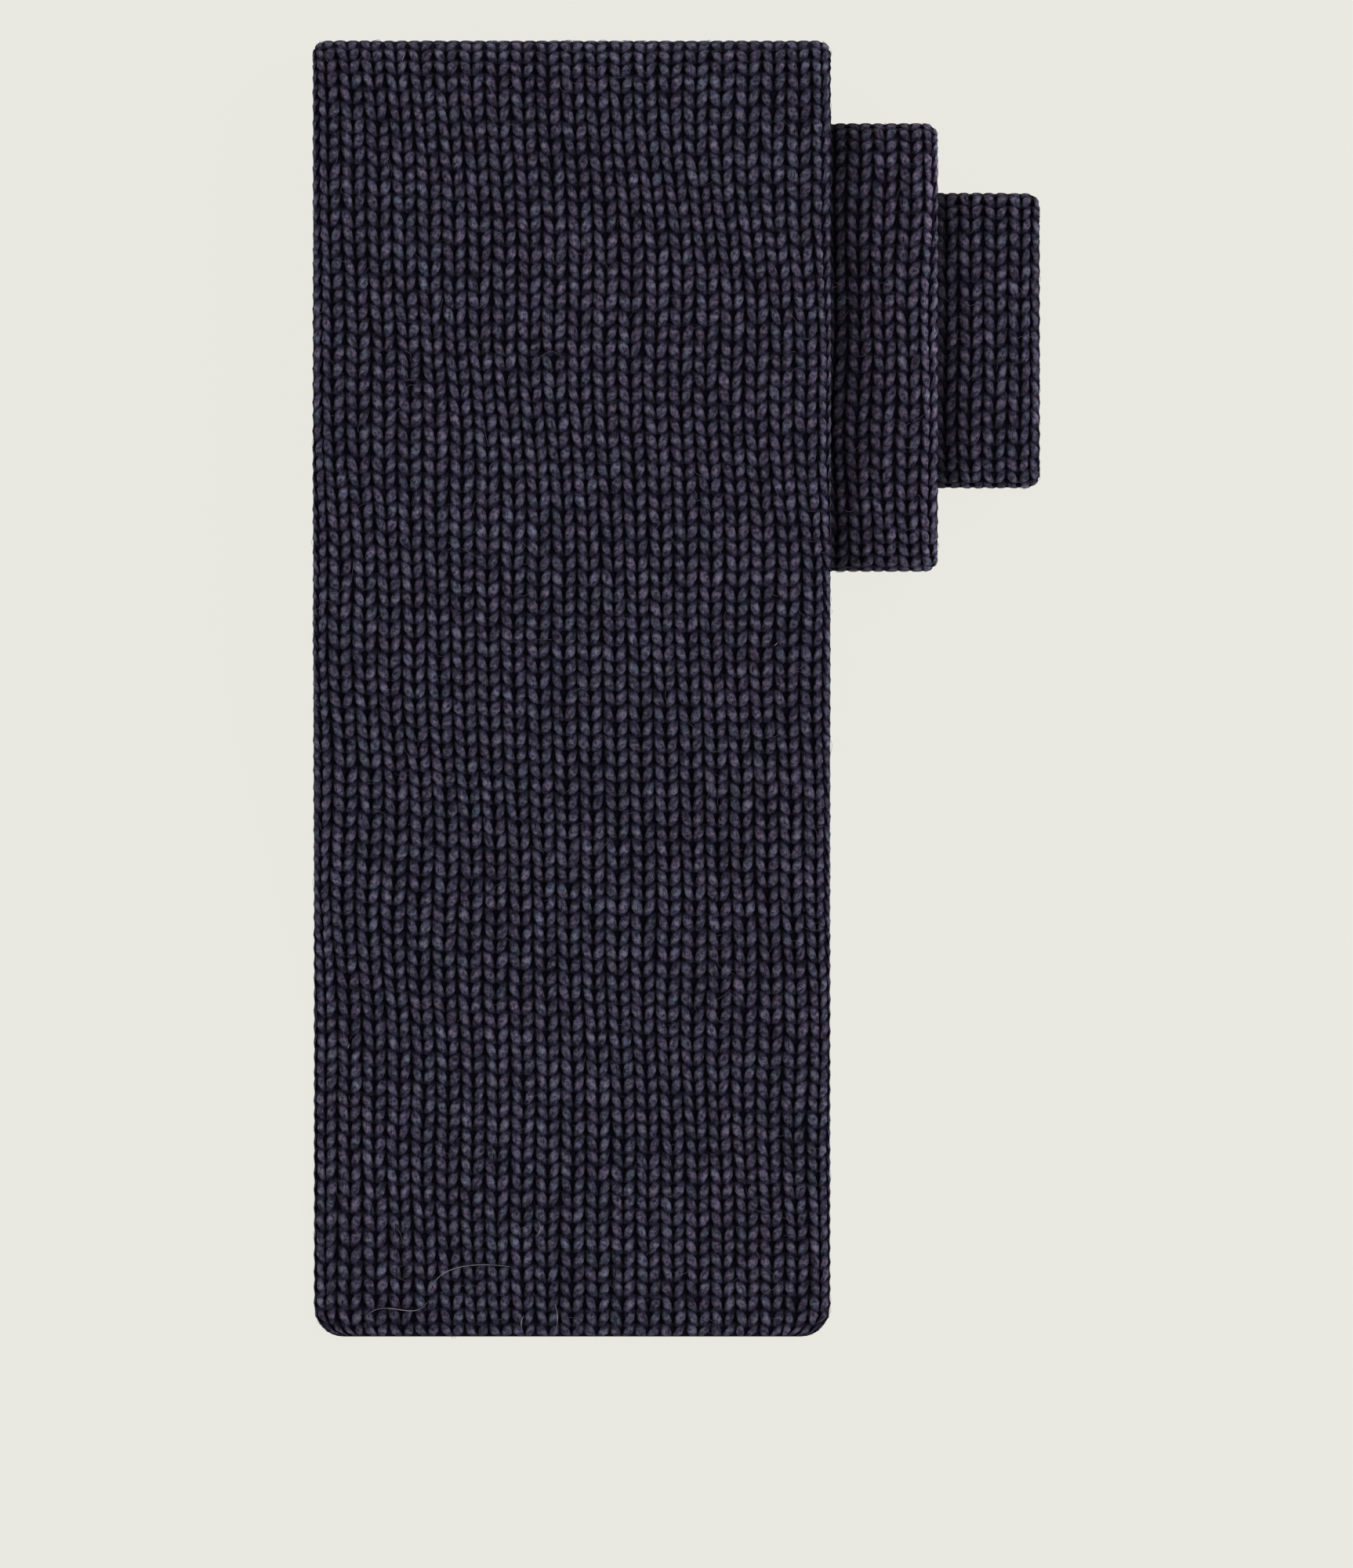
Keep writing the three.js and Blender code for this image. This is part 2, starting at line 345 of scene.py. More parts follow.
def tube_surface(around, length, hem):
    """Points on the flat tube, its outward normals and its share of thickness.

    Around is 0 in the middle of the inner side, 0.25 at the left edge, 0.5 in the middle of the outer side
    and 0.75 at the right edge.
    """
    narrower, thick = hem_shares(length, hem)
    radius = half_thickness * thick
    straight = by_layer(length, BLADE_WIDTH, NECK_WIDTH, TAIL_WIDTH) - 2 * radius
    arc = math.pi * radius
    # Run is measured from the left edge's outermost line, over the outer side.
    run = (np.mod(around, 1.0) - 0.25) * 2 * (straight + arc)
    past = run - arc / 2
    zero = 0 * run
    angle_left = np.clip(run / radius, -math.pi / 2, math.pi / 2)
    angle_right = np.clip((past - straight) / radius, 0, math.pi)
    on_outer = (past > 0) & (past <= straight)
    on_right = (past > straight) & (past < straight + arc)
    inner_right = past >= straight + arc
    inner_left = run < -arc / 2
    across = np.select(
        [on_outer, on_right, inner_right, inner_left],
        [
            past - straight / 2,
            straight / 2 + radius * np.sin(angle_right),
            straight / 2 - (past - straight - arc),
            -straight / 2 + (-run - arc / 2),
        ],
        -straight / 2 - radius * np.cos(angle_left),
    )
    normal_across = np.select(
        [on_outer | inner_right | inner_left, on_right],
        [zero, np.sin(angle_right)],
        -np.cos(angle_left),
    )
    normal_out = np.select(
        [on_outer, on_right, inner_right | inner_left],
        [1 + zero, np.cos(angle_right), -1 + zero],
        np.sin(angle_left),
    )
    # A hem's rounded corners draw in only the outermost wales.
    outermost = np.clip((np.abs(across) - straight / 2 - radius + CORNER_SPREAD) / CORNER_SPREAD, 0, 1)
    across = across - np.sign(across) * narrower / 2 * outermost**CORNER_EASING
    outward = radius * normal_out
    y, z, heading = path.at(length)
    x = by_layer(length, blade_centre, neck_centre, tail_centre) + across
    points = np.stack([x, y - outward * np.sin(heading), z + outward * np.cos(heading)], -1)
    normals = np.stack([normal_across, -normal_out * np.sin(heading), normal_out * np.cos(heading)], -1)
    return points, normals, thick


# The blade's inside is a closed flat core just under the loops of yarn, coloured nearly black as painted
# shade: it stands for the shade deep in the knitting and shows through the holes between the stitches.
CORE_DEPTH = 1.15 * MM
CORE_SIDES, CORE_ROW, CORNER_ROWS = 128, 1.6 * MM, 9
EDGE_FILL = 0.88
SLOPE_START, SLOPE_END = 0.1, 0.7
DEPTH_GRAIN, DEPTH_RELIEF = 700.0, 0.3 * MM
CORE_SHADE_DARK, CORE_SHADE_PALE = (0.0040, 0.0032, 0.0095, 1), (0.018, 0.0160, 0.034, 1)

# Painted shade: the core's near-black colours stand in for the shade inside the knitting.
painted_shade_core, depth_tree, depth_shader = new_material(
    "painted_shade_core", {"Roughness": 0.95, "Specular IOR Level": 0.0}
)
depth_noise = noise_of(depth_tree, object_place(depth_tree), DEPTH_GRAIN)
core_shade_ramp = node(depth_tree, "ShaderNodeValToRGB", inputs={"Fac": depth_noise})
core_shade_ramp.color_ramp.elements[0].color = CORE_SHADE_DARK
core_shade_ramp.color_ramp.elements[1].color = CORE_SHADE_PALE
depth_tree.links.new(core_shade_ramp.outputs["Color"], depth_shader.inputs["Base Color"])
roughen(depth_tree, depth_shader, depth_noise, Distance=DEPTH_RELIEF)


def facing_sideways(normals):
    """0 on the tube's flat faces and 1 on its edges and at its folds, where the surface is upright."""
    return eased(1 - np.abs(normals[..., 2]), SLOPE_START, SLOPE_END)


def core_mesh(name, start, end, hem):
    rows = max(2, int(math.ceil((end - start) / CORE_ROW)))
    lengths = np.linspace(start, end, rows + 1)
    if hem is not None:
        # Closer rows follow the hem's rounded corners.
        inwards = 1 if hem == start else -1
        bends = 1 - np.cos(np.linspace(0, math.pi / 2, CORNER_ROWS))
        rest = lengths[np.abs(lengths - hem) > HEM_CORNER + CORE_ROW / 2]
        lengths = np.sort(np.concatenate([hem + inwards * HEM_CORNER * bends, rest]))
        rows = len(lengths) - 1
    around = np.arange(CORE_SIDES) / CORE_SIDES
    grid_length, grid_around = np.meshgrid(lengths, around, indexing="ij")
    points, normals, thick = tube_surface(grid_around, grid_length, hem)
    # Along the tube's edges and folds the core comes up between the loops, so that the outline stays
    # smooth.
    sunk = CORE_DEPTH * thick * (1 - EDGE_FILL * facing_sideways(normals))
    points = (points - normals * sunk[..., None]).reshape(-1, 3)
    faces = tube_faces(rows, CORE_SIDES)
    # Each end is closed with strips from the outer side to the inner side, from the left edge to the right
    # one.
    left, last = CORE_SIDES // 4, rows * CORE_SIDES
    for step in range(CORE_SIDES // 2):
        outer, next_outer = left + step, left + step + 1
        inner, next_inner = (left - step) % CORE_SIDES, (left - step - 1) % CORE_SIDES
        # The first and the last strip are triangles.
        strip = list(dict.fromkeys([outer, inner, next_inner, next_outer]))
        faces.append(strip)
        faces.append([last + corner for corner in reversed(strip)])
    return mesh_object(name, points, faces, painted_shade_core)


def tube_faces(rows, sides):
    """The faces between rings of points, one ring after another."""
    faces = []
    for row in range(rows):
        for side in range(sides):
            here, beside = row * sides + side, row * sides + (side + 1) % sides
            faces.append([here, beside, beside + sides, here + sides])
    return faces


blade_end = blade_join - JOIN_GAP / 2
blade_core = core_mesh("blade_inside", 0.0, blade_end, 0.0)

# The yarn is a soft spun wool, dyed as fleece before spinning: fibres of navy, slate, plum and a few of
# pale teal are mixed in it, so that its colour changes along the strand and from stitch to stitch.
YARN_WIDTH = 0.80 * MM
FIBRE_NAVY, FIBRE_SLATE = (0.069, 0.063, 0.110, 1), (0.078, 0.079, 0.118, 1)
FIBRE_PLUM, FIBRE_TEAL = (0.086, 0.060, 0.106, 1), (0.066, 0.088, 0.132, 1)
FIBRE_GREY, DEEP_SHADE_BLUE = (0.082, 0.079, 0.093, 1), (0.062, 0.054, 0.128, 1)
WOOL_LOOK = {"Roughness": 0.85, "Specular IOR Level": 0.08, "Sheen Weight": 0.03, "Sheen Roughness": 0.5}
# Stretches of the strand with more of one fibre. In turn: how often they change in a stitch, where their
# noise starts, and the noise at which they begin and are full.
SLATE_STRETCHES = (0.9, 57.0, 0.42, 0.65)
PLUM_STRETCHES, PLUM_STRETCH_SHARE = (0.55, 11.0, 0.55, 0.75), 0.5
TEAL_STRETCHES, TEAL_STRETCH_SHARE = (1.4, 91.0, 0.62, 0.80), 0.6
# Spots in the cloth. In turn: their scale, their detail, and the noise at which they begin and are full.
PLUM_PATCHES, PLUM_PATCH_SHARE = (160.0, 2.0, 0.50, 0.72), 0.35
PLUM_PARTS, PLUM_PART_SHARE = (34.0, 2.0, 0.42, 0.62), 0.35
COLORED_TUFTS, TEAL_TUFTS = (2100.0, 1.0, 0.48, 0.62), (900.0, 1.0, 0.46, 0.58)
PALE_TUFTS = (1900.0, 2.5, 0.34, 0.68)
TUFT_DARK, TUFT_PALE = -0.12, 1.62
FIBRE_TWIST, FIBRE_ACROSS, FIBRE_ALONG = 5.0, 2.2, 4.0
FIBRE_NOISE = {"Scale": 2.4, "Detail": 4.0, "Roughness": 0.65}
FIBRE_DARK, FIBRE_PALE = 0.25, 0.8
PLIES, PLY_RELIEF = 3.0, 0.25
YARN_RELIEF, YARN_ROUGHENING = 0.15 * MM, 0.6
# The palest fibres are greyer. Deep in the fabric the yarn is painted darker and bluer, as painted shade.
GREY_FROM, GREY_TO = 0.8, 2.0
DEEPEST, DEEPENING, DEEP_LEFT = 0.54, 1.6, 0.06
# Each leg of a loop has its own tone.
TONE_LOW, TONE_RANGE = 0.83, 0.50
# The cloth beside the layer above is painted darker as painted shade, and along an outer edge the wool is
# painted paler as a painted highlight of light from the right.
SHADE_START, SHADE_LEFT = 0.8 * MM, 0.30
EDGE_LIGHT_REACH, EDGE_LIGHT_END = 3.2 * MM, 1.0 * MM
NOWHERE = -1.0


def new_group(name, kind, inputs, outputs):
    """A new node group, its inputs as values and its outputs to fill. The dicts give each socket's type."""
    tree = bpy.data.node_groups.new(name, kind)
    for in_out, sockets in (("INPUT", inputs), ("OUTPUT", outputs)):
        for socket, value_type in sockets.items():
            tree.interface.new_socket(socket, in_out=in_out, socket_type="NodeSocket" + value_type)
    given = node(tree, "NodeGroupInput").outputs
    results = node(tree, "NodeGroupOutput").inputs
    return tree, {socket: Value(tree, given[socket]) for socket in inputs}, results


def parts_of(tree, vector):
    """A vector's X, Y and Z."""
    split = node(tree, "ShaderNodeSeparateXYZ", inputs={"Vector": vector})
    return [Value(tree, split.outputs[axis]) for axis in "XYZ"]


def vector_of(tree, x=0.0, y=0.0, z=0.0):
    return value_of(tree, "ShaderNodeCombineXYZ", inputs={"X": x, "Y": y, "Z": z})


def scaled(tree, vector, factor):
    return value_of(tree, "ShaderNodeVectorMath", operation="SCALE", inputs={0: vector, "Scale": factor})


def mix_color(tree, share, first, second):
    # The inputs 6 and 7 and the output 2 are the ones for colours.
    inputs = {"Factor": share, 6: first, 7: second}
    return value_of(tree, "ShaderNodeMix", 2, data_type="RGBA", inputs=inputs)


def step_between(tree, value, low, high):
    """Grows smoothly from 0 to 1 as a value goes from low to high."""
    inputs = {"Value": value, "From Min": low, "From Max": high}
    return value_of(tree, "ShaderNodeMapRange", interpolation_type="SMOOTHSTEP", inputs=inputs)


def spots_of(tree, place, scale, detail, low, high):
    """Soft spots of noise: 0 between them and 1 inside them."""
    return step_between(tree, noise_of(tree, place, scale, detail), low, high)


def wool_group():
    """The colour and relief of melange wool, which all the layers' materials share."""
    tree, given, results = new_group(
        "melange_wool",
        "ShaderNodeTree",
        dict.fromkeys(("Plum Share", "Covered To", "Shade Reach", "Outer Edge", "Edge Highlight"), "Float"),
        {"Color": "Color", "Height": "Float"},
    )
    # Strand is the distance along the yarn in stitches, side is the direction from its middle, and depth
    # is how far it is below the tops of the loops.
    strand = value_of(tree, "ShaderNodeAttribute", "Fac", attribute_name="strand")
    side = value_of(tree, "ShaderNodeAttribute", "Vector", attribute_name="side")
    depth = value_of(tree, "ShaderNodeAttribute", "Fac", attribute_name="depth")
    place = object_place(tree)

    def stretches(pace, start, low, high):
        inputs = {"W": strand * pace + start, "Scale": 1.0, "Detail": 1.0}
        noise = value_of(tree, "ShaderNodeTexNoise", "Fac", noise_dimensions="1D", inputs=inputs)
        return step_between(tree, noise, low, high)

    # Stretches of the strand, a few stitches long, have more of one fibre, and so have whole parts of the
    # cloth.
    color = mix_color(tree, stretches(*SLATE_STRETCHES), FIBRE_NAVY, FIBRE_SLATE)
    for share in (
        stretches(*PLUM_STRETCHES) * PLUM_STRETCH_SHARE,
        spots_of(tree, place, *PLUM_PATCHES) * PLUM_PATCH_SHARE,
        spots_of(tree, place, *PLUM_PARTS) * PLUM_PART_SHARE + given["Plum Share"],
    ):
        color = mix_color(tree, share, color, FIBRE_PLUM)
    color = mix_color(tree, stretches(*TEAL_STRETCHES) * TEAL_STRETCH_SHARE, color, FIBRE_TEAL)
    # Single tufts of teal and plum fibres stand out here and there.
    teal_or_plum = mix_color(tree, spots_of(tree, place, *TEAL_TUFTS), FIBRE_PLUM, FIBRE_TEAL)
    color = mix_color(tree, spots_of(tree, place, *COLORED_TUFTS), color, teal_or_plum)

    # Fibres lie along the strand with a slight twist: noise that is drawn out along it.
    side_x, side_y, _ = parts_of(tree, side)
    twisted = strand * FIBRE_TWIST + calc(tree, "ARCTAN2", side_y, side_x)
    fibre_place = vector_of(
        tree,
        calc(tree, "COSINE", twisted) * FIBRE_ACROSS,
        calc(tree, "SINE", twisted) * FIBRE_ACROSS,
        strand * FIBRE_ALONG,
    )
    fibres = value_of(tree, "ShaderNodeTexNoise", "Fac", inputs={"Vector": fibre_place, **FIBRE_NOISE})
    pale = step_between(tree, fibres, FIBRE_DARK, FIBRE_PALE) + spots_of(tree, place, *PALE_TUFTS)
    color = mix_color(tree, step_between(tree, pale, GREY_FROM, GREY_TO), color, FIBRE_GREY)
    level = pale * (TUFT_PALE - TUFT_DARK) + TUFT_DARK
    # Only the tops of the loops catch the light.
    # Painted shade: the yarn is painted darker and bluer the deeper it lies below the tops of the loops, so
    # that only the tops look lit.
    raised = step_between(tree, depth, DEEPEST, 0.0) ** DEEPENING
    color = mix_color(tree, (1.0 - raised) ** 2.0, color, DEEP_SHADE_BLUE)
    level = level * (raised * (1 - DEEP_LEFT) + DEEP_LEFT)
    leg = calc(tree, "FLOOR", strand * 2.0)
    dice = value_of(tree, "ShaderNodeTexWhiteNoise", "Value", noise_dimensions="1D", inputs={"W": leg})
    level = level * (dice**2.0 * TONE_RANGE + TONE_LOW)
    x = parts_of(tree, place)[0]
    covered_to, edge = given["Covered To"], given["Outer Edge"]
    # Painted shade: the wool is painted darker beside the layer above, up to the shade reach past its edge.
    uncovered = step_between(tree, x, covered_to - SHADE_START, covered_to + given["Shade Reach"])
    level = level * (uncovered * (1 - SHADE_LEFT) + SHADE_LEFT)
    # Painted highlight: the wool is painted paler along its own right edge, where light from the right
    # falls on the rounded edge.
    edge_lit = step_between(tree, x, edge - EDGE_LIGHT_REACH, edge - EDGE_LIGHT_END)
    level = level * (edge_lit * (given["Edge Highlight"] - 1.0) + 1.0)
    fill(results["Color"], scaled(tree, color, level))
    fill(results["Height"], calc(tree, "SINE", twisted * PLIES) * PLY_RELIEF + fibres)
    return tree


melange_wool = wool_group()


def wool(name, plum_share, covered_to, shade_reach, outer_edge, edge_highlight):
    """One layer's wool. Covered_to is where the layer above ends, beside which painted shade darkens the
    wool, and outer_edge is its own right edge, along which a painted highlight brightens it.
    """
    material, tree, shader = new_material(name, WOOL_LOOK)
    inputs = {
        "Plum Share": plum_share,
        "Covered To": covered_to,
        "Shade Reach": shade_reach,
        "Outer Edge": outer_edge,
        "Edge Highlight": edge_highlight,
    }
    yarn = node(tree, "ShaderNodeGroup", node_tree=melange_wool, inputs=inputs)
    fill(shader.inputs["Base Color"], Value(tree, yarn.outputs["Color"]))
    height = Value(tree, yarn.outputs["Height"])
    roughen(tree, shader, height, Strength=YARN_ROUGHENING, Distance=YARN_RELIEF)
    return material


blade_wool = wool(
    "blade_wool",
    plum_share=0.0,
    covered_to=NOWHERE,
    shade_reach=MM,
    outer_edge=blade_right,
    # A painted highlight brightens the blade along its right edge.
    edge_highlight=1.12,
)

# The knit is plain stockinette, made in the round: one strand climbs the tube as a helix and makes a loop
# at every wale, drawn through the loop below from the back. The two legs of each loop show as a V.
STITCH_WIDTH, COURSE_HEIGHT = 2.88 * MM, 1.8 * MM
RINGS_PER_STITCH, YARN_SIDES = 8, 6
LEG_CROSSING, LEG_SPREAD = 0.235, -0.004
LEG_ARCH, LEG_LIFT, LEG_LEAN = 1.6, 0.12, 0.3
LEG_SWELL, LEG_FOCUS = 0.3, 0.02
LOOP_HEIGHT, LOOP_DEPTH = 0.84, 1.5 * MM
YARN_FLATNESS = 0.6
UNEVEN_LEGS, UNEVEN_SIDEWAYS, UNEVEN_HEIGHT, UNEVEN_THICKNESS = 0.11, 0.3, 1.0, 1.5
# The depth that counts as 1 in the wool's painted shade, in depths of a loop.
FULL_DEPTH = 1.2
# Knitting that reaches past a chart's ends is held back at the hem, where the last row runs off the edge.
EDGE_COURSES, HEM_OVERLAP, HEM_LIP = 1.3, 1.4, 0.03
EDGE_PRESS = 0.75
CHART_COLUMNS, CHART_ROWS = 6, 2
# The tension of the yarn wavers slowly: how much, in stitches, in how many waves, and how often they turn
# round the tube and along it.
TENSION, WAVES = 0.10, 8
MOST_TURNS, LEAST_PACE, MOST_PACE = 6, 0.01, 0.09
END_STEADYING = 0.25

knitting_sizes = {
    "Stitch Width": STITCH_WIDTH,
    "Course Height": COURSE_HEIGHT,
    "Yarn Width": YARN_WIDTH,
    "Yarn Flatness": YARN_FLATNESS,
    "Leg Crossing": LEG_CROSSING,
    "Leg Spread": LEG_SPREAD,
    "Leg Arch": LEG_ARCH,
    "Leg Lift": LEG_LIFT,
    "Leg Lean": LEG_LEAN,
    "Leg Swell": LEG_SWELL,
    "Leg Focus": LEG_FOCUS,
    "Loop Height": LOOP_HEIGHT,
    "Loop Depth": LOOP_DEPTH,
    "Uneven Legs": UNEVEN_LEGS,
}


def random_value(tree, low, high, seed, number=None):
    """A random value for each element, or for each number."""
    # The inputs 2 and 3 and the output 1 are the ones for single values.
    inputs = {2: low, 3: high, "Seed": seed}
    if number is not None:
        inputs["ID"] = number
    return value_of(tree, "FunctionNodeRandomValue", 1, data_type="FLOAT", inputs=inputs)


def real_and_colored(tree, geometry, material):
    real = value_of(tree, "GeometryNodeRealizeInstances", inputs={"Geometry": geometry})
    return value_of(tree, "GeometryNodeSetMaterial", inputs={"Geometry": real, "Material": material})


def knitting_group():
    counts = ("Wales", "First Course", "Courses", "Seed")
    measures = (*knitting_sizes, "All Courses")
    tree, given, results = new_group(
        "knitted_in_the_round",
        "GeometryNodeTree",
        {
            "Cloth": "Geometry",
            **dict.fromkeys(counts, "Int"),
            **dict.fromkeys(measures, "Float"),
            "Yarn": "Material",
        },
        {"Knitting": "Geometry"},
    )
    tree.is_modifier = True
    width, height = given["Stitch Width"], given["Course Height"]

    def captured(geometry, field, kind):
        made = node(tree, "GeometryNodeCaptureAttribute")
        made.capture_items.new(kind, "kept")
        fill(made.inputs[0], geometry)
        fill(made.inputs[1], field)
        return Value(tree, made.outputs[0]), Value(tree, made.outputs[1])

    def wander(reach, number, seed):
        """A random shift of the loops' fronts that is the same for all that has one number."""
        return random_value(tree, -reach, reach, given["Seed"] + seed, number) * uneven

    def kept(geometry, name, kind, value):
        inputs = {"Geometry": geometry, "Name": name, "Value": value}
        settings = {"data_type": kind, "domain": "POINT", "inputs": inputs}
        return value_of(tree, "GeometryNodeStoreNamedAttribute", **settings)

    def named(name):
        inputs = {"Name": name}
        return value_of(tree, "GeometryNodeInputNamedAttribute", data_type="FLOAT_VECTOR", inputs=inputs)

    def sampled(field):
        """What a field is on the cloth, at a place on its chart."""
        inputs = {"Mesh": given["Cloth"], "Value": field, 2: named("chart"), "Sample UV": chart}
        return value_of(tree, "GeometryNodeSampleUVSurface", data_type="FLOAT_VECTOR", inputs=inputs)

    # The strand starts as a straight tube that has a few rings for each stitch.
    count = given["Wales"] * given["Courses"] * RINGS_PER_STITCH + 1
    line = value_of(tree, "GeometryNodeCurvePrimitiveLine")
    inputs = {"Curve": line, "Count": count}
    rings = value_of(tree, "GeometryNodeResampleCurve", mode="COUNT", inputs=inputs)
    index = value_of(tree, "GeometryNodeInputIndex")
    curve, along = captured(rings, index / RINGS_PER_STITCH, "FLOAT")
    inputs = {"Resolution": YARN_SIDES}
    ring = value_of(tree, "GeometryNodeCurvePrimitiveCircle", mode="RADIUS", inputs=inputs)
    place = value_of(tree, "GeometryNodeInputPosition")
    profile, side = captured(ring, place, "VECTOR")
    inputs = {"Curve": curve, "Profile Curve": profile, "Fill Caps": True}
    tube = value_of(tree, "GeometryNodeCurveToMesh", inputs=inputs)

    # One loop: its foot is at the back between two wales, both legs come to the front, its head is at the
    # back.
    number, share = calc(tree, "FLOOR", along), calc(tree, "FRACT", along)
    leg = calc(tree, "FLOOR", along * 2)
    focus = calc(tree, "SINE", share * (4 * math.pi)) * given["Leg Focus"]
    turn = share * (2 * math.pi) + focus
    cosine, sine = calc(tree, "COSINE", turn), calc(tree, "SINE", turn)
    front, back = sine * sine, cosine * cosine
    uneven = front * given["Uneven Legs"]
    bend = calc(tree, "SINE", turn * 2) * given["Leg Crossing"] + sine * given["Leg Spread"]
    x = (number + share + bend + wander(UNEVEN_SIDEWAYS, leg, 1)) * width
    y = (wander(UNEVEN_HEIGHT, number, 2) - cosine * given["Loop Height"]) * height
    z = (front ** given["Leg Arch"] - 1 + cosine * given["Leg Lift"] * front) * given["Loop Depth"]

    # The yarn's section stands upright, across the leg at the front and along the wale at the back.
    crosswise = vector_of(tree, sine, front * given["Leg Lean"] - back**3)
    crosswise = value_of(tree, "ShaderNodeVectorMath", operation="NORMALIZE", inputs={0: crosswise})
    across_x, across_y, _ = parts_of(tree, crosswise)
    side_x, side_y, _ = parts_of(tree, side)
    radius = given["Yarn Width"] * 0.5
    thick = (front * given["Leg Swell"] + 1 + wander(UNEVEN_THICKNESS, leg, 3)) * radius
    sideways = side_x * thick
    x = x + sideways * across_x
    y = y + sideways * across_y
    z = z + side_y * thick

    # The flat strip of knitting is laid on the cloth's surface, which charts wales across and courses
    # along.
    rounds = x / (width * given["Wales"])
    course = y / height + (rounds + given["First Course"])
    chart = vector_of(tree, calc(tree, "FRACT", rounds), (course + EDGE_COURSES) / given["All Courses"])
    top = radius * (given["Leg Swell"] + 1)
    depth = (top - z) * given["Yarn Flatness"]
    sunk = scaled(tree, sampled(named("inward")), depth)
    landed = value_of(tree, "ShaderNodeVectorMath", operation="ADD", inputs={0: sampled(place), 1: sunk})
    geometry = kept(tube, "depth", "FLOAT", depth / (given["Loop Depth"] * FULL_DEPTH))
    geometry = value_of(tree, "GeometryNodeSetPosition", inputs={"Geometry": geometry, "Position": landed})
    geometry = kept(geometry, "strand", "FLOAT", along)
    geometry = kept(geometry, "side", "FLOAT_VECTOR", side)
    geometry = value_of(tree, "GeometryNodeSetShadeSmooth", inputs={"Geometry": geometry})
    geometry = value_of(tree, "GeometryNodeFlipFaces", inputs={"Mesh": geometry})
    fill(results["Knitting"], real_and_colored(tree, geometry, given["Yarn"]))
    return tree


knitting = knitting_group()


def waver(across, course, seed):
    """A slow wandering between -1 and 1 that closes round the tube, as the yarn's tension varies."""
    dice = np.random.default_rng(seed)
    total = 0.0
    for _ in range(WAVES):
        turns = dice.integers(0, MOST_TURNS)
        pace = dice.uniform(LEAST_PACE, MOST_PACE)
        total = total + np.sin(2 * math.pi * (turns * across + pace * course + dice.random()))
    return total * 2 / WAVES


def chart_mesh(name, wales, courses, place_of, seed):
    """The cloth's surface as a chart: a mesh whose UV is wales across and courses along."""
    columns, rows = wales * CHART_COLUMNS, int(round(courses * CHART_ROWS))
    grid = np.meshgrid(np.linspace(0, 1, rows + 1), np.linspace(0, 1, columns + 1), indexing="ij")
    along, across = grid
    course = along * courses
    # The courses keep their places at both ends.
    steady_ends = np.sin(math.pi * along) ** END_STEADYING
    wandered_wale = across * wales + TENSION * waver(across, course, seed)
    wandered_course = course + TENSION * waver(across, course, seed + 1) * steady_ends
    points, normals, thick = place_of(wandered_wale, np.clip(wandered_course, 0, courses))
    count = columns + 1
    corner = np.arange(rows)[:, None] * count + np.arange(columns)[None, :]
    faces = np.stack([corner, corner + 1, corner + 1 + count, corner + count], -1).reshape(-1, 4)
    mesh = bpy.data.meshes.new(name)
    mesh.vertices.add(points.size // 3)
    mesh.vertices.foreach_set("co", points.reshape(-1))
    mesh.loops.add(faces.size)
    mesh.loops.foreach_set("vertex_index", faces.reshape(-1))
    mesh.polygons.add(len(faces))
    mesh.polygons.foreach_set("loop_start", np.arange(len(faces)) * 4)
    mesh.update(calc_edges=True)
    # The loops are pressed flatter along the tube's edges and folds.
    relief = thick * (1 - EDGE_PRESS * facing_sideways(normals))
    for attribute, values in (
        ("chart", np.stack([across, along, 0 * along], -1)),
        ("inward", -normals * relief[..., None]),
    ):
        stored = mesh.attributes.new(attribute, "FLOAT_VECTOR", "POINT")
        stored.data.foreach_set("vector", values.reshape(-1))
    return add_object(name, mesh)


def made_on(cloth, group, name, values):
    """What a node group makes on a cloth's chart, as a new plain object. The chart stays as it was."""
    modifier = cloth.modifiers.new(name, "NODES")
    modifier.node_group = group
    for item in group.interface.items_tree:
        if item.in_out == "INPUT" and item.name in values:
            modifier[item.identifier] = values[item.name]
    depsgraph = bpy.context.evaluated_depsgraph_get()
    mesh = bpy.data.meshes.new_from_object(cloth.evaluated_get(depsgraph))
    mesh.name = name
    cloth.modifiers.remove(modifier)
    return add_object(name, mesh)


# A wool yarn is hairy: short fibres stand out of the blade's knitting all over, most of them too fine to be
# told apart. Each is a thin bent strand with both its ends held in the yarn.
FUZZ_DENSITY = 42000.0
FUZZ_WIDTH, FUZZ_LENGTH, FUZZ_RISE = 0.038 * MM, 1.8 * MM, 0.42 * MM
FUZZ_BEND, FUZZ_SUNK, FUZZ_TILT = 0.7, 0.7, 0.25
FUZZ_STEPS, FUZZ_SIDES = 5, 3
# How much longer or shorter, more or less bent to either side, and higher or lower than this a fibre is.
FUZZ_LENGTHS, FUZZ_BENDS, FUZZ_HEIGHTS = (0.35, 1.3), (-1.6, 1.6), (0.5, 1.3)
FUZZ_COLOR = (0.17, 0.165, 0.21, 1)
FUZZ_SPOTS = (300.0, 1.0, 0.35, 0.65)
# The fuzz has random numbers of its own, this far from its cloth's.
FUZZ_SEED_STEP = 20

fuzz_wool, fuzz_tree, fuzz_shader = new_material(
    "stray_fibres", {"Roughness": 0.7, "Specular IOR Level": 0.2}
)
fuzz_spots = spots_of(fuzz_tree, object_place(fuzz_tree), *FUZZ_SPOTS)
fill(fuzz_shader.inputs["Base Color"], mix_color(fuzz_tree, fuzz_spots, FIBRE_SLATE, FUZZ_COLOR))
fuzz_sizes = {
    "Density": FUZZ_DENSITY,
    "Length": FUZZ_LENGTH,
    "Rise": FUZZ_RISE,
    "Width": FUZZ_WIDTH,
}


